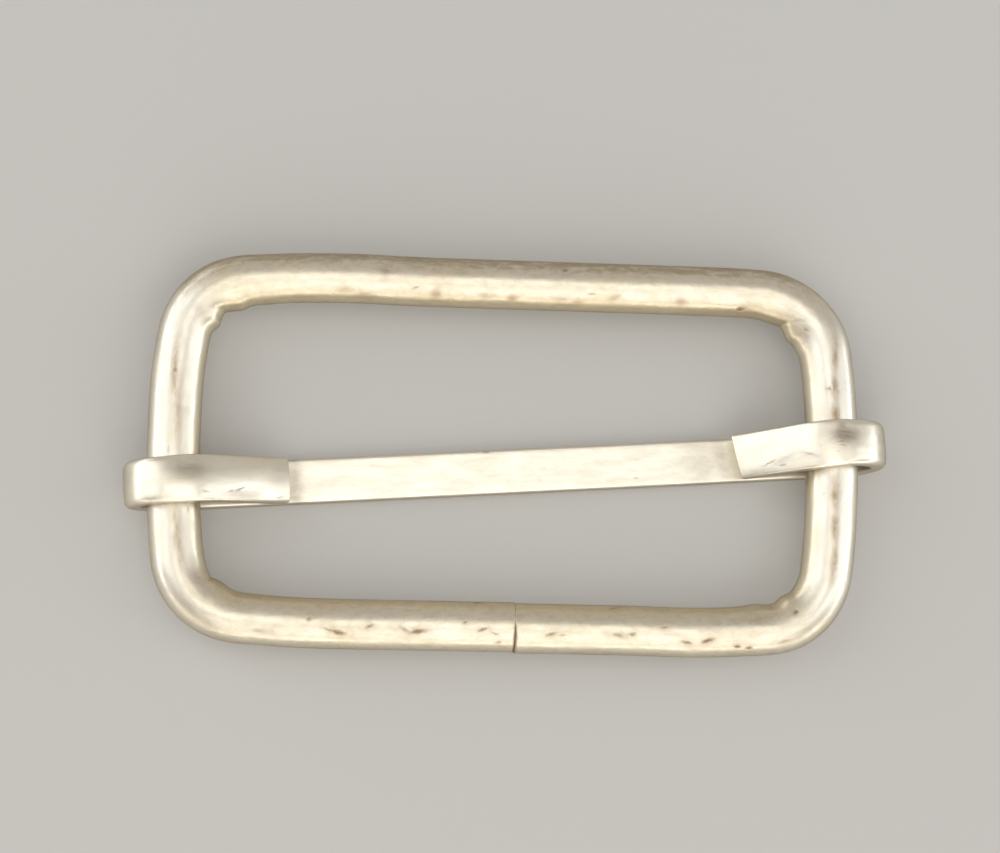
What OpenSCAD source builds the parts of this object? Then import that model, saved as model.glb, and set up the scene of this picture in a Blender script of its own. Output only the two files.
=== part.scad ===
// Strap slider with a movable bar: a round-wire frame, closed at a butt seam,
// and a flat steel bar whose two ends are folded round the frame's short sides.
// Millimetres. Origin at the centre of the frame's window, in the plane of the
// wire. +X along the long sides, +Y across the window, +Z towards the face on
// which the bar's folded ends lie.

/* [Frame] */
// Diameter of the frame wire
wire_d = 3.5; // [3:0.1:3.6]
// Clear width between the short sides, at their widest
slot_w = 41.6; // [41.2:0.1:42]
// Clear height between the long sides
slot_h = 20.1; // [18:0.1:26]
// Corner bend radius, to the wire's centreline
bend_r = 4.8; // [4:0.1:5.6]
// Lean of the short sides where their outward bow meets the corner bends, in degrees
side_lean = 7; // [5:0.5:10]

/* [Butt seam] */
// Distance of the seam from the middle of the front long side
seam_x = 0.72; // [-8:0.02:8]
// Gap left between the two cut ends of the wire
seam_gap = 0.08; // [0.04:0.02:0.3]
// Chamfer on the rim of each cut end
seam_chamfer = 0.08; // [0.02:0.01:0.3]

/* [Sliding bar] */
// Width of the flat strip
strip_w = 3.1; // [2.4:0.1:4]
// Thickness of the flat strip
strip_t = 1.2; // [0.9:0.1:1.4]
// Chamfer along the strip's edges
strip_chamfer = 0.22; // [0.05:0.01:0.35]
// Length of the bar over its two end loops
bar_len = 52.3; // [52:0.1:53]
// Play above and below the wire inside each end loop
loop_gap = 0.15; // [0.1:0.01:0.2]

/* [Folded ends] */
// Distance from the bar's middle to the tip of the left fold
left_tip = 15.1; // [14.6:0.1:15.6]
// Distance from the bar's middle to the tip of the right fold
right_tip = 16.0; // [15.4:0.1:16.2]
// How far the left fold's tip stands off the strip
left_tip_gap = 0.08; // [0.04:0.01:0.3]
// How far the right fold's tip stands off the strip
right_tip_gap = 0.28; // [0.1:0.01:0.4]
// Slope of the folds on their way down from the wire, in degrees
fold_slope = 35; // [34:0.5:37]
// Slope of the folds at their tips, in degrees
tip_slope = 20; // [16:0.5:24]

/* [Bar position] */
// Skew of the bar across the window, in degrees
bar_skew = 4.4; // [3.6:0.1:5]
// Place of the bar's middle along X
bar_x = 0.2; // [0:0.05:0.3]
// Place of the bar's middle along Y
bar_y = -0.9; // [-1.5:0.05:1.5]

/* [Hidden] */
$fn = 96;

// frame centreline: centres of the corner bends and of the short sides' bow
half_h = slot_h / 2 + wire_d / 2;
bend_y = half_h - bend_r;
side_r = bend_r + bend_y / sin(side_lean);
bend_x = round(100 * (slot_w / 2 + wire_d / 2 - side_r
    + (side_r - bend_r) * cos(side_lean))) / 100;
bow_x = bend_x - (side_r - bend_r) * cos(side_lean);

// bar centreline, in the plane of its thickness: u along the bar, v upwards
loop_r = wire_d / 2 + loop_gap + strip_t / 2;
loop_u = bar_len / 2 - loop_r - strip_t / 2;
crown_r = 3.5;
toe_r = 5;
slope_a = fold_slope - 2.5;
slope_b = fold_slope + 2.5;

// radius of the long, slightly crowned slope that brings a tip down to its gap
function slope_r(gap) = (2 * loop_r - gap - strip_t / 2 - strip_t / 2 * cos(tip_slope)
    - crown_r * (1 - cos(slope_a)) - toe_r * (cos(tip_slope) - cos(slope_b)))
    / (cos(slope_a) - cos(slope_b));
// where the fold leaves the level and starts down
function crown_u(tip, gap) = round(100 * (tip + crown_r * sin(slope_a)
    + slope_r(gap) * (sin(slope_b) - sin(slope_a))
    + toe_r * (sin(slope_b) - sin(tip_slope)))) / 100;

// moves in a coarse and a fine step, so that neighbouring arcs meet face to face
module at(p) {
    coarse = [for (v = p) round(v * 100) / 100];
    translate(coarse) translate(p - coarse) children();
}

// ---- wire frame ----
module wire_arc(centre, r, from, to)
    at(centre) rotate_extrude(start = from, angle = to - from) at([r, 0]) circle(d = wire_d);

module wire_run(from, to, y)
    translate([from, y, 0]) rotate([0, 90, 0]) cylinder(d = wire_d, h = to - from);

// a run that ends in a chamfered cut at the seam
module cut_run(from, to, y) {
    wire_run(from, to - seam_chamfer, y);
    translate([to - seam_chamfer, y, 0]) rotate([0, 90, 0])
        cylinder(d1 = wire_d, d2 = wire_d - 2 * seam_chamfer, h = seam_chamfer);
}

module short_side() {
    wire_arc([bow_x, 0, 0], side_r, -side_lean, side_lean);
    wire_arc([bend_x, bend_y, 0], bend_r, side_lean, 90);
    wire_arc([bend_x, -bend_y, 0], bend_r, -90, -side_lean);
}

module wire_frame() color([0.83, 0.80, 0.73]) union() {
    short_side();
    mirror([1, 0, 0]) short_side();
    wire_run(-bend_x, bend_x, half_h);
    cut_run(-bend_x, seam_x - seam_gap / 2, -half_h);
    mirror([1, 0, 0]) cut_run(-bend_x, -seam_x - seam_gap / 2, -half_h);
}

// ---- sliding bar ----
module strip_section() {
    a = strip_t / 2;
    b = strip_w / 2;
    c = strip_chamfer;
    polygon([[-a, -b + c], [-a + c, -b], [a - c, -b], [a, -b + c],
             [a, b - c], [a - c, b], [-a + c, b], [-a, b - c]]);
}

module strip_run(from, to, v)
    translate([from, v, 0]) rotate([90, 0, 90]) linear_extrude(to - from) strip_section();

module strip_arc(centre, r, from, to)
    at(centre) rotate_extrude(start = from, angle = to - from) at([r, 0]) strip_section();

function along(centre, r, a) = [centre[0] + r * cos(a), centre[1] + r * sin(a), 0];

// one end: round the wire, over its top and down to the strip
module folded_end(tip, gap) {
    crown = [crown_u(tip, gap), loop_r - crown_r, 0];
    slope = along(crown, crown_r - slope_r(gap), 90 + slope_a);
    toe = along(slope, slope_r(gap) + toe_r, 90 + slope_b);
    strip_arc([loop_u, 0, 0], loop_r, -90, 90);
    strip_run(crown[0], loop_u, loop_r);
    strip_arc(crown, crown_r, 90, 90 + slope_a);
    strip_arc(slope, slope_r(gap), 90 + slope_a, 90 + slope_b);
    strip_arc(toe, toe_r, tip_slope - 90, slope_b - 90);
}

module slide_bar() color([0.86, 0.83, 0.75])
    translate([bar_x, bar_y, 0]) rotate([0, 0, bar_skew]) rotate([90, 0, 0]) union() {
        strip_run(-loop_u, loop_u, -loop_r);
        folded_end(right_tip, right_tip_gap);
        mirror([1, 0, 0]) folded_end(left_tip, left_tip_gap);
    }

wire_frame();
slide_bar();
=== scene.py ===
import math

import bpy
import numpy as np
from mathutils import Matrix, Vector, noise


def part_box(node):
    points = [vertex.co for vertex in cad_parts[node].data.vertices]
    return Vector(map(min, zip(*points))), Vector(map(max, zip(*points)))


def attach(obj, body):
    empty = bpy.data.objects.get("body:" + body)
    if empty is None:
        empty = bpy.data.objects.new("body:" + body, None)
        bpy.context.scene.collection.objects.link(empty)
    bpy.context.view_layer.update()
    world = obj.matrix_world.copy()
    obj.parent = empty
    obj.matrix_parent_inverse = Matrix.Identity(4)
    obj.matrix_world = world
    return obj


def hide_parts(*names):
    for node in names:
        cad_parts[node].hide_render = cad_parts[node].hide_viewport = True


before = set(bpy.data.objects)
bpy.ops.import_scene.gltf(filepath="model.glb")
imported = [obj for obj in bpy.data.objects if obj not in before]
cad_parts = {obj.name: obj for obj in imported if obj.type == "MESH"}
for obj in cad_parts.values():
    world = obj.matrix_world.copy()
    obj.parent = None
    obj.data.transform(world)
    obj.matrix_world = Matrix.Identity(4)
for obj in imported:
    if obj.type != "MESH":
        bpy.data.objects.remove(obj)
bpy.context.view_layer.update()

MM = 0.001
WIRE_R = 1.75          # mm, as in the CAD frame
LONG_Y = 11.8          # centreline of the long sides
BEND_R = 4.8
LEAN = math.radians(7.0)
BEND_Y = LONG_Y - BEND_R
SIDE_R = BEND_R + BEND_Y / math.sin(LEAN)
BEND_X = 17.32
SEAM_X = 0.72
FLOOR_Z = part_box("slide_bar")[0][2]

# ------------------------------------------------------------------ camera
cam_data = bpy.data.cameras.new("camera")
cam = bpy.data.objects.new("camera", cam_data)
bpy.context.scene.collection.objects.link(cam)
cam.matrix_world = Matrix((
    (0.9965563, -0.0293216, -0.0775609, -0.0147634),
    (0.0180098, 0.9896004, -0.1427119, -0.0244168),
    (0.0809388, 0.1408236, 0.9867206, 0.1821542),
    (0.0, 0.0, 0.0, 1.0),
))
cam_data.sensor_width = 36.0
cam_data.lens = 97.2
cam_data.clip_start = 0.005
cam_data.clip_end = 20.0
bpy.context.scene.camera = cam


# ------------------------------------------------------------------ mesh help
def bump(s, at, width):
    return np.exp(-((s - at) / width) ** 2)


def turtle(segments, start, heading, stations):
    """Points along a chain of (length, curvature) segments, at a number of even stations or at given ones."""
    total = sum(seg[0] for seg in segments)
    s = np.linspace(0.0, total, stations) if isinstance(stations, int) else np.asarray(stations, float)
    x = np.zeros(len(s))
    y = np.zeros(len(s))
    h = np.zeros(len(s))
    px, py, ph, s0 = start[0], start[1], heading, 0.0
    for length, k in segments:
        m = (s >= s0 - 1e-9) & (s <= s0 + length + 1e-9)
        d = s[m] - s0
        if k == 0:
            x[m], y[m], h[m] = px + d * math.cos(ph), py + d * math.sin(ph), ph
            px, py = px + length * math.cos(ph), py + length * math.sin(ph)
        else:
            x[m] = px + (np.sin(ph + k * d) - math.sin(ph)) / k
            y[m] = py - (np.cos(ph + k * d) - math.cos(ph)) / k
            h[m] = ph + k * d
            e = ph + k * length
            px, py = px + (math.sin(e) - math.sin(ph)) / k, py - (math.cos(e) - math.cos(ph)) / k
            ph = e
        s0 += length
    return s, x, y, h


def field(points, scale, seed, octaves=2):
    """Smooth noise at many points, about -1 to 1, repeatable."""
    out = np.empty(len(points))
    off = Vector((seed * 17.3, seed * 5.7, seed * 29.1))
    for i, p in enumerate(points):
        v = Vector((p[0] * scale[0], p[1] * scale[1], p[2] * scale[2])) + off
        a, total, amp = 0.0, 0.0, 1.0
        for _ in range(octaves):
            a += amp * noise.noise(v)
            total += amp
            v = v * 2.03
            amp *= 0.5
        out[i] = a / total
    return out


def swept_mesh(name, rings, uvs, layers):
    """Closed solid from rings of equal length: rings is (n, m, 3) in mm, uvs is (n, m + 1, 2), layers are named (n, m) values."""
    n, m, _ = rings.shape
    verts = [tuple(v) for v in (rings.reshape(-1, 3) * MM)]
    faces = []
    loop_uv = []
    for i in range(n - 1):
        for j in range(m):
            k = (j + 1) % m
            faces.append((i * m + j, (i + 1) * m + j, (i + 1) * m + k, i * m + k))
            loop_uv += [uvs[i, j], uvs[i + 1, j], uvs[i + 1, j + 1], uvs[i, j + 1]]
    for i, flip in ((0, False), (n - 1, True)):
        centre = rings[i].mean(0) * MM
        verts.append(tuple(centre))
        c = len(verts) - 1
        for j in range(m):
            k = (j + 1) % m
            tri = (c, i * m + j, i * m + k) if not flip else (c, i * m + k, i * m + j)
            faces.append(tri)
            a, b = uvs[i, j], uvs[i, j + 1]
            loop_uv += [(a + b) / 2, a, b] if not flip else [(a + b) / 2, b, a]
    mesh = bpy.data.meshes.new(name)
    mesh.from_pydata(verts, [], faces)
    layer = mesh.uv_layers.new(name="track")
    layer.data.foreach_set("uv", np.asarray(loop_uv, np.float32).ravel())
    for key, values in layers.items():
        full = np.concatenate([values.ravel(), [values[0].mean(), values[-1].mean()]])
        mesh.attributes.new(key, "FLOAT", "POINT").data.foreach_set("value", full.astype(np.float32))
    mesh.validate()
    mesh.shade_smooth()
    obj = bpy.data.objects.new(name, mesh)
    bpy.context.scene.collection.objects.link(obj)
    return obj


def padded(values, head, tail):
    return np.concatenate([np.repeat(values[:1], head, 0), values, np.repeat(values[-1:], tail, 0)])


def blots(along, around, items, loop=None):
    """Soft elliptical blots over a surface whose points are (along, around) in mm, used both for stains and for painted
    shade; loop is the length once round.
    """
    out = np.zeros_like(along)
    for a, r_, length, width, turn, depth in items:
        d = around - r_
        if loop:
            d = (d + loop / 2) % loop - loop / 2
        c, t = math.cos(math.radians(turn)), math.sin(math.radians(turn))
        x, y = (along - a) * c + d * t, d * c - (along - a) * t
        out = np.maximum(out, depth * np.exp(-(x / (0.55 * length)) ** 2 - (y / (0.55 * width)) ** 2))
    return out


def step(v, lo, hi):
    k = np.clip((v - lo) / (hi - lo), 0, 1)
    return k * k * (3 - 2 * k)


def end_rings(rings, inset, first=True):
    """Extra rings that shrink towards the end's centre, so that the cut face has its own flat mesh with a tight rim."""
    ring = rings[0] if first else rings[-1]
    centre = ring.mean(0)
    return [centre + (ring - centre) * (1 - k) for k in inset]


# ------------------------------------------------------------------ wire frame
def on_track(items):
    return [(at, math.radians(deg) * WIRE_R, ln, wd, turn, dark) for at, deg, ln, wd, turn, dark in items]


def build_wire():
    quarter = (BEND_R * (math.pi / 2 - LEAN), 1 / BEND_R)
    side = (SIDE_R * 2 * LEAN, 1 / SIDE_R)
    gap = 0.004
    run_a = (BEND_X - SEAM_X - gap, 0.0)
    run_b = (BEND_X + SEAM_X - gap, 0.0)
    segs = [run_a, quarter, side, quarter, (2 * BEND_X, 0.0), quarter, side, quarter, run_b]
    total = sum(seg[0] for seg in segs)
    rim = np.array([0.0, 0.03, 0.06, 0.09, 0.12, 0.16, 0.22, 0.30])
    stations = np.concatenate([rim, np.linspace(0.42, total - 0.42, 884), total - rim[::-1]])
    s, x, y, h = turtle(segs, (SEAM_X + gap, -LONG_Y), 0.0, stations)
    ox, oy = np.sin(h), -np.cos(h)      # outwards, away from the window

    # the bends of a hand-fed forming tool: the long sides turn in a little early, the short sides stay out
    shift = (-0.17 * bump(s, 16.9, 2.0) - 0.14 * bump(s, 43.2, 3.0) - 0.21 * bump(s, 81.0, 2.4)
             - 0.17 * bump(s, 108.9, 2.6) + 0.05 * bump(s, 11.5, 2.0) + 0.05 * bump(s, 25.0, 3.0)
             + 0.08 * bump(s, 73.5, 3.0) + 0.09 * bump(s, 90.0, 3.0) + 0.03 * bump(s, 117.0, 4.0))
    shift += 0.035 * np.exp(-s / 5.0) - 0.03 * np.exp(-(total - s) / 5.0)   # the two cut ends stand a hair apart
    # half thickness: thinner on the drawn long sides, thicker where the wire is upset in the bends and short sides
    on_side = 1 / (1 + np.exp(-(x ** 2 - 18.8 ** 2) / 18.0))

    m = 60
    phi = np.arange(m) * 2 * math.pi / m
    S, P = np.meshgrid(s, phi, indexing="ij")
    cosp, sinp = np.cos(P), np.sin(P)
    r = WIRE_R - 0.055 + 0.10 * on_side[:, None] * cosp ** 2     # flattened, so that the loops have room to slide
    inward = np.clip(-cosp, 0, None)
    outward = np.clip(cosp, 0, None)
    # pinched metal inside each bend: a swelling either side of a crease that leans across the wire
    for at, size, width in ((82.1, 0.29, 1.2), (85.5, 0.28, 0.75), (41.3, 0.34, 1.0), (44.9, 0.10, 1.0),
                            (106.5, 0.16, 1.0), (103.0, 0.05, 0.8), (16.6, 0.14, 0.9), (19.7, 0.17, 0.8),
                            (39.6, 0.14, 0.8), (80.0, 0.08, 1.2), (108.9, 0.05, 1.4)):
        # under the right loop's travel the swelling stays low on the wire, so that the loop can pass over it
        r += size * bump(S, at, width) * inward ** (6.0 if 38.0 < at < 42.0 else 2.4)
    for at, size, width, lean_by in ((83.9, 0.14, 0.32, 2.6), (43.0, 0.17, 0.32, -2.2), (105.1, 0.16, 0.24, 1.6), (18.1, 0.05, 0.30, -1.0)):
        line = at + lean_by * (1 - inward)
        r -= size * np.exp(-np.abs(S - line) / width) * inward ** 1.5
        # one side of the crease stands a little higher
        r += 0.04 * np.exp(-np.clip((S - line) * np.sign(lean_by), 0, None) / 1.1) * (np.sign(lean_by) * (S - line) > 0) * inward ** 1.5
    # stretched outside of each bend is a little flat
    for at in (20.0, 42.3, 84.0, 105.9):
        r -= 0.05 * bump(S, at, 2.6) * outward ** 2
    # dents and drawing marks
    rng = np.random.RandomState(7)
    for _ in range(46):
        at, ang = rng.uniform(1, total - 1), rng.uniform(-math.pi, math.pi)
        size, ws, wp = rng.uniform(0.006, 0.022), rng.uniform(0.3, 1.4), rng.uniform(0.12, 0.35)
        d = (P - ang + math.pi) % (2 * math.pi) - math.pi
        r -= size * np.exp(-((S - at) / ws) ** 2 - (d / wp) ** 2)
    pts = np.stack([S.ravel(), (cosp * WIRE_R).ravel(), (sinp * WIRE_R).ravel()], 1)
    r += 0.013 * field(pts, (0.16, 0.5, 0.5), 1, 2).reshape(r.shape)
    r += 0.007 * field(pts, (0.75, 1.5, 1.5), 2, 2).reshape(r.shape)
    # nicks that show as dark flecks along the crown of the front long side and elsewhere
    for at, deg, ln, wd, turn, dark in FLECKS:
        d = ((P - math.radians(deg) + math.pi) % (2 * math.pi) - math.pi) * WIRE_R
        a, b = math.cos(math.radians(turn)), math.sin(math.radians(turn))
        along, across = (S - at) * a + d * b, d * a - (S - at) * b
        r -= 0.018 * dark * np.exp(-(along / (0.55 * ln)) ** 2 - (across / (0.35 * wd + 0.10)) ** 2)

    # the two cut ends meet; their rims are broken into a shallow groove, widest outside
    degs = np.degrees(P)
    shut = step(degs, 70, 115) * (1 - step(degs, 240, 300))
    bevel = 0.05 * (1 - shut) + 0.02
    from_end = np.minimum(S, total - S)
    r -= 0.8 * np.clip(bevel - from_end, 0, None)

    cx, cy = x + shift * ox, y + shift * oy
    rings = np.stack([
        cx[:, None] + ox[:, None] * r * cosp,
        cy[:, None] + oy[:, None] * r * cosp,
        r * sinp,
    ], 2)
    u = s[:, None] * np.ones((1, m + 1))
    v = (np.arange(m + 1) * 2 * math.pi / m * WIRE_R)[None, :] * np.ones((len(s), 1))
    uvs = np.stack([u, v], 2)
    # flat face at each cut end
    inset = (0.0, 0.06, 0.45, 0.8)
    head = end_rings(rings, inset)[::-1][:-1]
    tail = end_rings(rings, inset, False)[1:]
    rings = np.concatenate([np.array(head), rings, np.array(tail)])
    uvs = np.concatenate([np.repeat(uvs[:1], len(head), 0), uvs, np.repeat(uvs[-1:], len(tail), 0)])
    # layers for the finish: stains with some painted shade and painted reflection among them, the rubbed rear shoulder
    # with painted shade down the outward side, painted shade on the side facing the window, grime at the butt joint
    around = P * WIRE_R
    girth = 2 * math.pi * WIRE_R
    halos = [(at, deg, 1.5 * ln, 2.0 * wd + 0.15, turn, 0.45 * dark) for at, deg, ln, wd, turn, dark in FLECKS]
    stain_and_shade = blots(S, around, on_track(list(WIRE_STAINS_AND_SHADE) + halos), girth)
    shoulder = (P + math.pi) % (2 * math.pi) - math.pi
    wear_and_rim_shade = step(S, 40.5, 45.0) * (1 - step(S, 83.0, 88.0)) * (1 - step(shoulder, 0.70, 1.45)) * step(shoulder, -1.6, -0.9)
    # painted shade: a faint band down the outward side of the wire, all round
    wear_and_rim_shade = np.maximum(wear_and_rim_shade, 0.30 * (1 - step(np.abs(shoulder), 0.4, 1.0)))
    # the long sides are duller and yellower than the short ones
    long = step(np.abs(y), 8.6, 11.2)[:, None] * np.ones((1, m))
    # painted shade on the window side of the wire
    window_side_shade = step(-cosp, 0.35, 0.95)
    ends = np.exp(-(from_end / 0.15) ** 2) * (1 - 0.8 * shut)
    layers = {k: padded(v_, len(head), len(tail)) for k, v_ in
              {"stain_and_shade": stain_and_shade, "wear_and_rim_shade": wear_and_rim_shade, "window_side_shade": window_side_shade, "joint": ends, "long": long}.items()}
    return swept_mesh("frame_wire", rings, uvs, layers)


# flecks on the wire: place along it (mm from the seam), place round it (degrees, 0 outwards, 90 up), length, width (mm),
# turn (degrees), darkness
FLECKS = (
    (115.6, 67, 1.10, 0.35, -15, 0.85), (115.0, 72, 0.90, 0.22, -22, 0.50), (117.7, 82, 0.60, 0.25, 25, 0.65),
    (120.9, 72, 1.15, 0.35, 8, 0.90), (120.1, 76, 0.80, 0.23, -30, 0.50), (113.7, 97, 0.40, 0.35, 80, 0.50),
    (110.3, 61, 0.80, 0.33, 5, 0.35), (124.1, 96, 0.32, 0.22, 30, 0.50), (125.3, 79, 0.78, 0.23, 20, 0.75),
    (126.1, 71, 0.60, 0.19, -20, 0.45), (126.4, 49, 0.40, 0.19, 20, 0.45), (125.0, 158, 0.60, 0.22, 15, 0.60),
    (2.4, 74, 0.72, 0.23, 18, 0.70), (3.2, 73, 0.50, 0.17, 10, 0.35), (6.8, 149, 0.80, 0.18, 18, 0.50),
    (6.9, 75, 0.70, 0.27, -20, 0.45), (7.9, 78, 0.42, 0.26, 20, 0.65), (11.6, 63, 0.72, 0.23, -12, 0.70),
    (13.0, 67, 0.82, 0.31, 22, 0.85), (10.1, 98, 0.50, 0.22, 10, 0.35), (15.1, 51, 0.48, 0.29, -10, 0.85),
    (15.9, 43, 0.42, 0.25, 5, 0.75), (19.6, 111, 0.48, 0.35, 25, 0.85), (18.0, 55, 0.80, 0.22, 10, 0.40),
    (47.1, 144, 0.50, 0.38, 30, 0.75), (41.0, 124, 0.50, 0.23, 20, 0.65), (59.3, 60, 0.32, 0.30, 0, 0.65),
    (69.5, 115, 0.50, 0.19, 20, 0.40), (90.0, 86, 0.30, 0.30, 60, 0.55), (33.0, 104, 0.35, 0.19, 85, 0.45),
    (36.2, 103, 0.40, 0.19, 80, 0.50),
)
# stains on the wire, with the same columns as the flecks; the runs at 77 to 98 degrees down the crowns of the right and
# left short sides (24.2 to 38.6 mm and 90.2 to 101.4 mm) are painted reflection, a dark line where the surroundings
# reflect dark, and the soft patch at 85.6 mm in the top left bend is painted shade
WIRE_STAINS_AND_SHADE = (
    (97.5, 262, 2.6, 0.8, 8, 0.55), (61.0, 255, 3.2, 0.9, -6, 0.60), (9.5, 285, 2.4, 0.8, 12, 0.50),
    (30.5, 268, 2.8, 0.9, -4, 0.55), (75.0, 290, 2.0, 0.7, 5, 0.50), (118.0, 250, 2.6, 0.8, 0, 0.50),
    (74.3, 128, 1.00, 0.55, 0, 0.59), (73.0, 141, 1.30, 0.50, 0, 0.59), (71.6, 84, 0.60, 0.90, 0, 0.45),
    (68.1, 130, 0.80, 0.75, 40, 0.65), (64.6, 129, 1.00, 0.50, 0, 0.52), (62.9, 134, 0.75, 0.50, 0, 0.78),
    (59.6, 133, 0.95, 0.60, 0, 0.52), (58.4, 139, 0.80, 0.40, 0, 0.65), (55.8, 123, 0.80, 0.45, 20, 0.72),
    (51.3, 128, 0.80, 0.60, 0, 0.59), (46.6, 138, 1.10, 0.80, 10, 0.45), (85.6, 108, 1.20, 0.90, 60, 0.35),
    (104.6, 118, 1.70, 0.70, 20, 0.35), (16.2, 112, 2.60, 0.80, 0, 0.30), (7.2, 74, 1.60, 0.50, -6, 0.35),
    (38.6, 77, 2.6, 0.46, -11, 0.75), (36.2, 88, 1.6, 0.50, -3, 0.85), (34.3, 91, 1.8, 0.52, 0, 0.90), (28.9, 93, 2.2, 0.52, 1, 0.88), (26.6, 90, 1.8, 0.48, 3, 0.80), (24.2, 83, 2.6, 0.46, 4, 0.70),
    (90.2, 86, 4.4, 0.50, 6, 0.66), (92.4, 98, 4.2, 0.55, 2, 0.50), (101.4, 96, 4.6, 0.50, 1, 0.66),
    (111.0, 60, 1.50, 0.60, 0, 0.40), (120.6, 72, 2.20, 0.60, -4, 0.30), (18.6, 50, 1.60, 0.50, 8, 0.35),
)


# ------------------------------------------------------------------ sliding bar
STRIP_W, STRIP_T = 3.1, 1.2
LOOP_R = WIRE_R + 0.15 + STRIP_T / 2
BAR_LEN = 52.3
LOOP_U = BAR_LEN / 2 - LOOP_R - STRIP_T / 2
CROWN_R, TOE_R = 3.5, 5.0
TIP_SLOPE = math.radians(20)


def fold_segments(tip, gap):
    a, b = math.radians(32.5), math.radians(37.5)
    slope_r = (2 * LOOP_R - gap - STRIP_T / 2 - STRIP_T / 2 * math.cos(TIP_SLOPE) - CROWN_R * (1 - math.cos(a))
               - TOE_R * (math.cos(TIP_SLOPE) - math.cos(b))) / (math.cos(a) - math.cos(b))
    crown_u = tip + CROWN_R * math.sin(a) + slope_r * (math.sin(b) - math.sin(a)) + TOE_R * (math.sin(b) - math.sin(TIP_SLOPE))
    return [(LOOP_U, 0.0), (LOOP_R * math.pi, 1 / LOOP_R), (LOOP_U - crown_u, 0.0), (CROWN_R * a, 1 / CROWN_R),
            (slope_r * (b - a), 1 / slope_r), (TOE_R * (b - TIP_SLOPE), -1 / TOE_R)]


def build_bar():
    right = fold_segments(16.0, 0.28)
    left = fold_segments(15.1, 0.08)
    n = 330
    sr, ur, vr, hr = turtle(right, (0.0, -LOOP_R), 0.0, n)
    sl, ul, vl, hl = turtle(left, (0.0, -LOOP_R), 0.0, n)
    vr = vr + 0.09 * bump(ur, 20.4, 1.1) * (vr > 0)        # a fuller crown, clear of the wire at the end of its travel
    end_r, end_l = sr[-1], sl[-1]
    # one path from the left tip (s = -end_l) to the right tip (s = +end_r)
    s = np.concatenate([-sl[::-1], sr[1:]])
    u = np.concatenate([-ul[::-1], ur[1:]])
    v = np.concatenate([vl[::-1], vr[1:]])
    tu = np.concatenate([np.cos(hl[::-1]), np.cos(hr[1:])])
    tv = np.concatenate([-np.sin(hl[::-1]), np.sin(hr[1:])])
    nu, nv = -tv, tu                       # towards the inside of the loops
    bend0, bend1 = LOOP_U, LOOP_U + LOOP_R * math.pi

    def smooth(a, k=9):
        kernel = np.hanning(k + 2)[1:-1]
        pad = np.pad(a, k // 2, mode="edge")
        return np.convolve(pad, kernel / kernel.sum(), mode="valid")

    # sideways drift of the folded ends, from the way they were bent
    side = np.interp(s, [-end_l, -bend1 - 1, -bend1, -bend0, -10, 10, bend0, bend1, bend1 + 1.5, bend1 + 4.5, end_r],
                     [0.00, 0.04, 0.02, 0.0, 0.0, 0.0, 0.02, 0.33, 0.27, 0.18, 0.10])
    side = smooth(side, 21)
    wide = np.interp(s, [-end_l, -end_l + 1.5, -bend1 - 1.0, -bend1, -bend0 - 3, -bend0 + 1.5, bend0 - 1.5, bend0 + 3, bend1, bend1 + 1.0, end_r - 1.5, end_r],
                     [3.08, 3.12, 3.22, 3.16, 3.06, 3.02, 3.02, 3.06, 3.14, 3.22, 3.12, 3.06])
    wide = smooth(wide, 31)
    in_bend = np.clip(np.minimum((np.abs(s) - bend0 + 0.8) / 1.4, (bend1 + 0.8 - np.abs(s)) / 1.4), 0, 1)
    in_bend = in_bend * in_bend * (3 - 2 * in_bend)
    in_fold = np.clip((np.abs(s) - bend1 + 1.5) / 2.5, 0, 1)
    in_fold = in_fold * in_fold * (3 - 2 * in_fold)
    thick = STRIP_T - 0.05 * in_bend

    # crown (metal rolled down towards both edges) and roll (one edge lower) of the outer face
    crown = 0.012 + 0.075 * in_fold * (s < 0) + 0.018 * in_fold * (s > 0) + 0.02 * in_bend
    roll = 0.085 * in_fold * (s < 0) - 0.012 * in_fold * (s > 0)

    # cross-section, as a closed loop of (w, n): outer face first
    per_face, per_corner, per_side = 15, 5, 2
    rings = []
    uv = []
    for i in range(len(s)):
        W, T = wide[i], thick[i]
        ro = 0.20 + 0.22 * in_bend[i]          # outer-face corners
        ri = 0.17
        pts = []
        for k in range(per_face):              # outer face, +w to -w
            pts.append((W / 2 - ro - (W - 2 * ro) * k / (per_face - 1), -T / 2))
        for k in range(1, per_corner + 1):
            a = math.pi / 2 * k / (per_corner + 1)
            pts.append((-W / 2 + ro - ro * math.sin(a), -T / 2 + ro - ro * math.cos(a)))
        for k in range(per_side):
            pts.append((-W / 2, -T / 2 + ro + (T - ro - ri) * k / (per_side - 1)))
        for k in range(1, per_corner + 1):
            a = math.pi / 2 * k / (per_corner + 1)
            pts.append((-W / 2 + ri - ri * math.cos(a), T / 2 - ri + ri * math.sin(a)))
        for k in range(per_face):
            pts.append((-W / 2 + ri + (W - 2 * ri) * k / (per_face - 1), T / 2))
        for k in range(1, per_corner + 1):
            a = math.pi / 2 * k / (per_corner + 1)
            pts.append((W / 2 - ri + ri * math.sin(a), T / 2 - ri + ri * math.cos(a)))
        for k in range(per_side):
            pts.append((W / 2, T / 2 - ri - (T - ro - ri) * k / (per_side - 1)))
        for k in range(1, per_corner + 1):
            a = math.pi / 2 * k / (per_corner + 1)
            pts.append((W / 2 - ro + ro * math.cos(a), -T / 2 + ro - ro * math.sin(a)))
        p = np.array(pts)
        w, nn = p[:, 0].copy(), p[:, 1].copy()
        outer = np.clip((-nn / (T / 2) + 1) / 2, 0, 1)
        nn = nn + outer * (crown[i] * w ** 2 + roll[i] * w)
        rings.append(np.stack([w, nn], 1))
        d = np.sqrt(((np.roll(p, -1, 0) - p) ** 2).sum(1))
        uv.append(np.concatenate([[0], np.cumsum(d)]))
    sec = np.array(rings)                        # (n, m, 2)
    m = sec.shape[1]
    w, nn = sec[:, :, 0], sec[:, :, 1]

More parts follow.
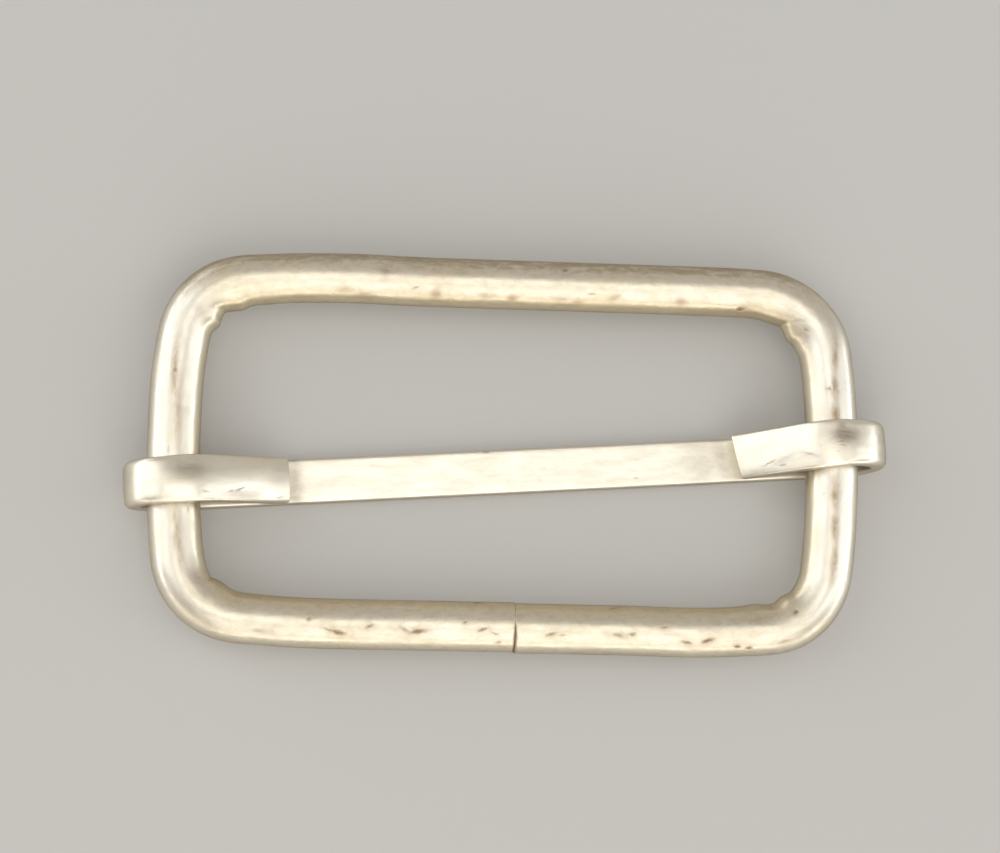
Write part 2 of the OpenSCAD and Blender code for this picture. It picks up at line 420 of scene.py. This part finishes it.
    # dents: over the wire of the right fold, a press mark on the left one
    S = np.repeat(s[:, None], m, 1)
    on_outer = np.clip((-nn / (STRIP_T / 2) - 0.3) / 0.5, 0, 1)
    for at, wc, size, ws, ww in ((bend1 + 0.2, 0.75, 0.10, 0.8, 0.6), (-bend1 - 1.7, 0.75, 0.09, 0.9, 0.7),
                                 (bend1 + 4.2, -1.0, 0.022, 1.4, 0.35), (-bend1 - 5.6, -0.7, 0.03, 0.9, 0.25),
                                 (-bend1 - 7.3, 0.3, 0.02, 0.5, 0.8), (end_r - 1.2, 0.0, 0.015, 0.8, 1.0)):
        nn += size * np.exp(-((S - at) / ws) ** 2 - ((w - wc) / ww) ** 2) * on_outer
    pts = np.stack([S.ravel(), w.ravel(), nn.ravel() * 1.5], 1)
    nn += 0.006 * field(pts, (0.35, 0.7, 0.7), 5, 2).reshape(nn.shape)
    w += 0.010 * field(pts, (0.4, 0.4, 0.4), 6, 2).reshape(w.shape) * np.abs(w) / 1.5

    # cut of the tips: left nearly square, right slanted
    along = np.zeros_like(S)
    fall_r = np.exp(-(end_r - S) / 0.7)
    fall_l = np.exp(-(S + end_l) / 0.7)
    along += fall_r * (0.17 * w) - fall_l * (0.03 * w)
    cu = u[:, None] + nu[:, None] * nn + tu[:, None] * along
    cv = v[:, None] + nv[:, None] * nn + tv[:, None] * along
    cw = w + side[:, None]
    body = np.stack([cu, cw, cv], 2)
    uvs = np.stack([np.repeat((s + 60.0)[:, None], m + 1, 1), np.array(uv)], 2)
    # soft rim round each cut face
    inset = (0.0, 0.05, 0.13, 0.45, 0.8)
    head = end_rings(body, inset)[::-1][:-1]
    tail = end_rings(body, inset, False)[1:]
    first = body[0] + 0.05 * np.array([tu[0], 0, tv[0]])
    last = body[-1] - 0.05 * np.array([tu[-1], 0, tv[-1]])
    body[0], body[-1] = first, last
    rings = np.concatenate([np.array(head), body, np.array(tail)])
    uvs = np.concatenate([np.repeat(uvs[:1], len(head), 0), uvs, np.repeat(uvs[-1:], len(tail), 0)])
    # into the frame's axes: skewed across the window
    a = math.radians(4.4)
    X = 0.2 + rings[:, :, 0] * math.cos(a) - rings[:, :, 1] * math.sin(a)
    Y = -0.9 + rings[:, :, 0] * math.sin(a) + rings[:, :, 1] * math.cos(a)
    rings = np.stack([X, Y, rings[:, :, 2]], 2)
    across = np.array(uv)[:, :m]
    stain_and_shade = blots(S + 60.0, across, BAR_STAINS_AND_SHADOWS)
    obj = swept_mesh("sliding_strip", rings, uvs, {"stain_and_shade": padded(stain_and_shade, len(head), len(tail))})
    obj.data.flip_normals() if signed_volume(obj.data) < 0 else None
    return obj


def signed_volume(mesh):
    mesh.calc_loop_triangles()
    co = np.empty(len(mesh.vertices) * 3, np.float32)
    mesh.vertices.foreach_get("co", co)
    co = co.reshape(-1, 3)
    tri = np.empty(len(mesh.loop_triangles) * 3, np.int32)
    mesh.loop_triangles.foreach_get("vertices", tri)
    a, b, c = co[tri.reshape(-1, 3)].transpose(1, 0, 2)
    return float((a * np.cross(b, c)).sum() / 6)


# ------------------------------------------------------------------ materials
class Nodes:
    """Short names for building a node tree."""

    def __init__(self, name):
        self.mat = bpy.data.materials.new(name)
        self.mat.use_nodes = True
        self.t = self.mat.node_tree
        self.t.nodes.clear()
        self.out = self.t.nodes.new("ShaderNodeOutputMaterial")
        self.bsdf = self.t.nodes.new("ShaderNodeBsdfPrincipled")
        self.link(self.bsdf.outputs[0], self.out.inputs[0])

    def link(self, a, b):
        self.t.links.new(a, b)

    def new(self, kind, **inputs):
        n = self.t.nodes.new("ShaderNode" + kind)
        for k, v in inputs.items():
            key = int(k[1:]) if k[0] == "i" and k[1:].isdigit() else k.replace("_", " ")
            if hasattr(v, "is_linked") or isinstance(v, bpy.types.NodeSocket):
                self.link(v, n.inputs[key])
            else:
                n.inputs[key].default_value = v
        return n

    def math(self, op, a, b=0.5, c=0.0, clamp=False):
        n = self.t.nodes.new("ShaderNodeMath")
        n.operation = op
        n.use_clamp = clamp
        for i, v in enumerate((a, b, c)):
            if isinstance(v, bpy.types.NodeSocket):
                self.link(v, n.inputs[i])
            else:
                n.inputs[i].default_value = v
        return n.outputs[0]

    def remap(self, v, lo, hi, a=0.0, b=1.0, smooth=True):
        n = self.t.nodes.new("ShaderNodeMapRange")
        n.interpolation_type = "SMOOTHSTEP" if smooth else "LINEAR"
        self.link(v, n.inputs["Value"])
        for key, val in (("From Min", lo), ("From Max", hi), ("To Min", a), ("To Max", b)):
            n.inputs[key].default_value = val
        return n.outputs["Result"]

    def noise(self, vec, scale, detail=3.0, rough=0.55, distortion=0.0):
        n = self.t.nodes.new("ShaderNodeTexNoise")
        self.link(vec, n.inputs["Vector"])
        n.inputs["Scale"].default_value = scale
        n.inputs["Detail"].default_value = detail
        n.inputs["Roughness"].default_value = rough
        n.inputs["Distortion"].default_value = distortion
        return n.outputs["Fac"]

    def mapping(self, vec, loc=(0, 0, 0), rot=(0, 0, 0), scale=(1, 1, 1), kind="POINT"):
        n = self.t.nodes.new("ShaderNodeMapping")
        n.vector_type = kind
        self.link(vec, n.inputs["Vector"])
        n.inputs["Location"].default_value = loc
        n.inputs["Rotation"].default_value = rot
        n.inputs["Scale"].default_value = scale
        return n.outputs[0]

    def mix(self, fac, a, b):
        n = self.t.nodes.new("ShaderNodeMix")
        n.data_type = "RGBA"
        for key, v in ((0, fac), (6, a), (7, b)):
            if isinstance(v, bpy.types.NodeSocket):
                self.link(v, n.inputs[key])
            else:
                n.inputs[key].default_value = v if key == 0 else tuple(v) + (1.0,)
        return n.outputs[2]

    def bump(self, height, strength, distance, normal=None):
        n = self.t.nodes.new("ShaderNodeBump")
        n.inputs["Strength"].default_value = strength
        n.inputs["Distance"].default_value = distance
        self.link(height, n.inputs["Height"])
        if normal is not None:
            self.link(normal, n.inputs["Normal"])
        return n.outputs[0]


def plated_steel(name, flecks, base, yellow, brown, rough, is_wire):
    """Satin plated steel. Flecks are (along, round, length, width, turn, darkness) in mm of the track map."""
    g = Nodes(name)
    uv = g.t.nodes.new("ShaderNodeUVMap")
    uv.uv_map = "track"
    track = uv.outputs[0]                       # mm along, mm round
    obj = g.t.nodes.new("ShaderNodeTexCoord").outputs["Object"]
    pos = g.mapping(obj, scale=(1000, 1000, 1000))   # mm

    streaks = g.noise(g.mapping(track, scale=(0.30, 2.5, 1.0)), 1.0, 4.0, 0.55, 0.3)
    fine_streaks = g.noise(g.mapping(track, scale=(0.8, 11.0, 1.0)), 1.0, 3.0, 0.6)
    clouds = g.noise(pos, 0.22, 3.0, 0.5, 0.3)
    patches = g.noise(g.mapping(track, scale=(0.45, 1.1, 1.0)), 1.0, 4.0, 0.55, 0.5)
    ragged = g.noise(g.mapping(track, scale=(1.3, 2.3, 1.0)), 1.0, 5.0, 0.62, 0.6)
    grain = g.noise(pos, 7.0, 3.0, 0.6)
    specks = g.noise(pos, 3.2, 4.0, 0.65, 0.2)

    # marks: each is an ellipse in its own stretched frame, its edge broken up by noise
    wobble = g.t.nodes.new("ShaderNodeTexNoise")
    g.link(g.mapping(track, scale=(2.6, 3.4, 1.0)), wobble.inputs["Vector"])
    wobble.inputs["Scale"].default_value = 1.0
    wobble.inputs["Detail"].default_value = 4.0
    wobble.inputs["Roughness"].default_value = 0.65
    shake = g.t.nodes.new("ShaderNodeVectorMath")
    shake.operation = "MULTIPLY_ADD"
    g.link(wobble.outputs["Color"], shake.inputs[0])
    shake.inputs[1].default_value = (0.50, 0.26, 0.0)
    off = g.t.nodes.new("ShaderNodeVectorMath")
    off.operation = "ADD"
    g.link(track, off.inputs[0])
    off.inputs[1].default_value = (-0.25, -0.13, 0.0)
    g.link(off.outputs[0], shake.inputs[2])
    warped = shake.outputs[0]

    def marks(items, near, far):
        total = None
        for a, r_, length, width, turn, depth in items:
            v = g.mapping(warped, loc=(a, r_, 0.0), rot=(0, 0, math.radians(turn)), scale=(length / 2, width / 2, 1.0), kind="TEXTURE")
            n = g.t.nodes.new("ShaderNodeVectorMath")
            n.operation = "LENGTH"
            g.link(v, n.inputs[0])
            m = g.remap(n.outputs["Value"], near, far, depth, 0.0)
            total = m if total is None else g.math("MAXIMUM", total, m)
        return total

    dark = marks(flecks, 0.10, 1.55)
    def layer(key):
        n = g.t.nodes.new("ShaderNodeAttribute")
        n.attribute_name = key
        return n.outputs["Fac"]

    soft = layer("stain_and_shade")
    # stray small scuffs everywhere else
    vor = g.t.nodes.new("ShaderNodeTexVoronoi")
    g.link(g.mapping(warped, scale=(0.40, 1.25, 1.0)), vor.inputs["Vector"])
    vor.inputs["Scale"].default_value = 0.62
    gate = g.remap(g.noise(pos, 0.45, 2.0, 0.5), 0.53, 0.62)
    stray = g.math("MULTIPLY", g.remap(vor.outputs["Distance"], 0.03, 0.10, 0.40, 0.0), gate)
    dark = g.math("MAXIMUM", dark, stray)

    # yellowed plating: broad soft clouds, drawn out along the stock
    age = g.math("ADD", g.math("MULTIPLY", clouds, 0.5), g.math("MULTIPLY", patches, 0.5))
    yellowed = g.remap(age, 0.40, 0.68, 0.05, 0.50 if is_wire else 0.30, smooth=False)
    if is_wire:
        # painted shade: the window side of the wire is drawn darker and yellower
        yellowed = g.math("MULTIPLY_ADD", layer("window_side_shade"), 0.50, yellowed)
        yellowed = g.math("MULTIPLY_ADD", layer("long"), 0.38, yellowed, clamp=True)
    tint = g.mix(yellowed, base, yellow)
    tint = g.mix(g.remap(streaks, 0.52, 0.72, 0.0, 0.30), tint, yellow)
    # stains drawn toward brown; some of them are painted shadows, painted shade or a painted dark reflection line
    tint = g.mix(g.math("MULTIPLY", soft, g.remap(ragged, 0.30, 0.60, 0.65 if is_wire else 0.85, 1.25 if is_wire else 1.10), clamp=True), tint,
                 (0.42, 0.315, 0.20) if is_wire else (0.36, 0.31, 0.25))

    rubbed_and_rim_shade = None
    if is_wire:
        # brown in ragged streaks on the outer shoulders: partly rubbed-through plating, partly painted shade down the
        # outward side of the wire
        tear = g.math("ADD", g.math("MULTIPLY", streaks, 0.5), g.math("MULTIPLY", ragged, 0.5))
        band = g.math("ADD", layer("wear_and_rim_shade"), g.math("MULTIPLY", g.math("SUBTRACT", tear, 0.5), 3.0))
        rubbed_and_rim_shade = g.math("MULTIPLY", g.remap(band, 0.15, 1.35, 0.0, 1.0), g.remap(layer("wear_and_rim_shade"), 0.0, 0.6, 0.0, 0.90))
        tint = g.mix(rubbed_and_rim_shade, tint, brown)
        # painted glints: hairline scratches drawn lighter than the metal round them
        tint = g.mix(g.remap(fine_streaks, 0.66, 0.78, 0.0, 0.45), tint, (0.95, 0.92, 0.85))
    # handling grime in small soft wisps, mostly on the long sides
    if is_wire:
        mottle = g.math("MULTIPLY", g.remap(ragged, 0.42, 0.66, 0.0, 1.0), g.math("MULTIPLY_ADD", layer("long"), 0.17, 0.05))
    else:
        mottle = g.remap(ragged, 0.46, 0.70, 0.0, 0.07)
    tint = g.mix(mottle, tint, brown)
    tint = g.mix(g.remap(specks, 0.60, 0.76, 0.0, 0.30), tint, brown)
    if is_wire:
        # grime drawn into the butt joint, strongest where it gapes
        dark = g.math("MAXIMUM", dark, g.remap(g.math("MULTIPLY_ADD", g.math("SUBTRACT", ragged, 0.5), 0.8, layer("joint")), 0.10, 0.95, 0.0, 0.72))
    tint = g.mix(g.math("MULTIPLY", dark, 0.92, clamp=True), tint, (0.25, 0.155, 0.08))
    g.link(tint, g.bsdf.inputs["Base Color"])
    g.bsdf.inputs["Metallic"].default_value = 1.0
    g.bsdf.inputs["Specular Tint"].default_value = (0.55, 0.50, 0.43, 1.0)

    ro = g.math("ADD", g.remap(patches, 0.32, 0.70, rough - 0.03, rough + 0.06), g.remap(streaks, 0.4, 0.65, -0.012, 0.022))
    ro = g.math("ADD", ro, g.math("MULTIPLY", dark, 0.25), clamp=True)
    ro = g.math("ADD", ro, g.math("MULTIPLY", soft, 0.10), clamp=True)
    if rubbed_and_rim_shade is not None:
        ro = g.math("ADD", ro, g.math("MULTIPLY", rubbed_and_rim_shade, 0.14), clamp=True)
    g.link(ro, g.bsdf.inputs["Roughness"])

    h = g.math("ADD", g.math("MULTIPLY", grain, 0.4), g.math("MULTIPLY", fine_streaks, 0.45))
    n1 = g.bump(h, 0.5, 0.000009)
    n2 = g.bump(ragged, 0.5, 0.000022, n1)
    n3 = g.bump(g.math("SUBTRACT", 1.0, dark), 0.7, 0.00004, n2)
    g.link(n3, g.bsdf.inputs["Normal"])
    return g.mat


# strip marks: place along it is 60 at the middle, growing to the right; 0 to 3 across the outer face, 0 at the rear edge
BAR_FLECKS = (
    (60 - 35.7, 2.15, 0.9, 0.16, 24, 0.50), (60 - 35.0, 2.3, 0.5, 0.16, 10, 0.40), (60 - 39.0, 2.6, 0.8, 0.18, 12, 0.35),
    (60 - 33.2, 2.35, 0.6, 0.14, -12, 0.35), (60 + 36.4, 2.2, 1.0, 0.14, 18, 0.40), (60 + 33.4, 2.0, 0.8, 0.12, -22, 0.30),
    (60 + 31.5, 1.3, 0.5, 0.10, 4, 0.40), (60 + 31.4, 1.55, 0.4, 0.09, 4, 0.35), (60 + 9.0, 4.5, 0.5, 0.14, 15, 0.30),
)
# stains on the strip, columns as for the flecks; the three across the upper face beside the flap tips (60 - 14.6, 60 +
# 13.4, 60 + 15.2) are painted shadows of the tips, and the dark patches on the folds just past the top of each loop (60
# - 32.3, 60 + 31.2, 60 + 30.6) are painted shade over the dents there
BAR_STAINS_AND_SHADOWS = (
    (60 - 36.0, 2.5, 3.0, 0.55, 0, 0.50), (60 - 32.3, 0.75, 2.1, 1.3, 10, 0.70), (60 + 31.2, 0.55, 1.9, 1.9, 70, 0.95), (60 + 30.6, 1.2, 1.6, 0.9, 40, 0.45),
    (60 + 36.8, 2.6, 4.4, 0.45, 0, 0.40), (60 + 35.3, 2.05, 2.0, 0.28, 19, 0.35), (60 + 33.5, 2.0, 1.6, 0.28, -22, 0.32), (60 + 13.4, 5.5, 2.6, 4.4, 0, 0.25), (60 + 19.0, 4.3, 5.0, 0.5, 0, 0.45), (60 - 14.6, 5.5, 1.0, 4.4, 0, 0.55), (60 + 15.2, 5.5, 1.4, 4.4, 20, 0.40),
)

wire = build_wire()
bar = build_bar()

wire_mat = plated_steel("plated_wire", on_track(FLECKS), base=(0.90, 0.865, 0.785), yellow=(0.77, 0.69, 0.52),
                        brown=(0.47, 0.39, 0.28), rough=0.33, is_wire=True)
bar_mat = plated_steel("plated_strip", BAR_FLECKS, base=(0.91, 0.87, 0.77), yellow=(0.82, 0.74, 0.56),
                       brown=(0.42, 0.34, 0.24), rough=0.32, is_wire=False)
wire.data.materials.append(wire_mat)
bar.data.materials.append(bar_mat)

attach(wire, "frame")
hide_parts("wire_frame")
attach(bar, "bar")
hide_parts("slide_bar")

# ------------------------------------------------------------------ floor, light
floor_mesh = bpy.data.meshes.new("floor")
half = 1.5
floor_mesh.from_pydata([(-half, -half, FLOOR_Z), (half, -half, FLOOR_Z), (half, half, FLOOR_Z), (-half, half, FLOOR_Z)], [], [(0, 1, 2, 3)])
floor = bpy.data.objects.new("floor", floor_mesh)
bpy.context.scene.collection.objects.link(floor)
fl = Nodes("floor_card")
fl.bsdf.inputs["Base Color"].default_value = (0.55, 0.547, 0.54, 1.0)
fl.bsdf.inputs["Roughness"].default_value = 0.85
fl.bsdf.inputs["Specular IOR Level"].default_value = 0.2
floor.data.materials.append(fl.mat)

world = bpy.data.worlds.new("studio")
bpy.context.scene.world = world
world.use_nodes = True
world.node_tree.nodes["Background"].inputs[0].default_value = (1.0, 0.93, 0.85, 1.0)
world.node_tree.nodes["Background"].inputs[1].default_value = 0.50


def softbox(name, polar, azimuth, size, level, colour, distance=1.0):
    """A soft panel facing the object: polar is degrees from straight up, azimuth degrees from +X, level its brightness."""
    data = bpy.data.lights.new(name, "AREA")
    data.shape = "RECTANGLE"
    data.size, data.size_y = size
    data.energy = level * math.pi * size[0] * size[1]
    data.color = colour
    o = bpy.data.objects.new(name, data)
    bpy.context.scene.collection.objects.link(o)
    p, a = math.radians(polar), math.radians(azimuth)
    o.location = Vector((math.sin(p) * math.cos(a), math.sin(p) * math.sin(a), math.cos(p))) * distance
    o.rotation_euler = (-o.location).to_track_quat("-Z", "Y").to_euler()
    o.visible_camera = False
    return o


softbox("overhead", 1, 270, (0.60, 0.56), 1.12, (1.0, 1.0, 0.96))
softbox("panel_left", 50, 162, (0.90, 0.96), 0.95, (0.94, 0.99, 1.0))
softbox("panel_front", 46, 276, (0.86, 0.90), 1.05, (1.0, 0.99, 0.95))
softbox("panel_right", 54, 358, (0.56, 0.98), 0.95, (0.94, 0.98, 1.0))
softbox("panel_front_right", 36, 318, (0.42, 0.44), 0.45, (1.0, 0.99, 0.95))
# low strips round the left, front and right, for the sides of the wire
for name, azimuth, level, colour in (("strip_left", 180, 2.6, (1.0, 0.98, 0.95)), ("strip_back_left", 136, 2.0, (1.0, 1.0, 1.0)),
                                     ("strip_front_left", 226, 1.8, (1.0, 0.92, 0.80)), ("strip_front", 272, 2.4, (1.0, 0.93, 0.80)),
                                     ("strip_front_right", 316, 2.8, (1.0, 0.99, 0.95)), ("strip_right", 0, 2.6, (0.88, 0.96, 1.0))):
    softbox(name, 84, azimuth, (0.74, 0.17), level, colour)

scene = bpy.context.scene
scene.view_settings.view_transform = "Standard"
scene.view_settings.look = "None"

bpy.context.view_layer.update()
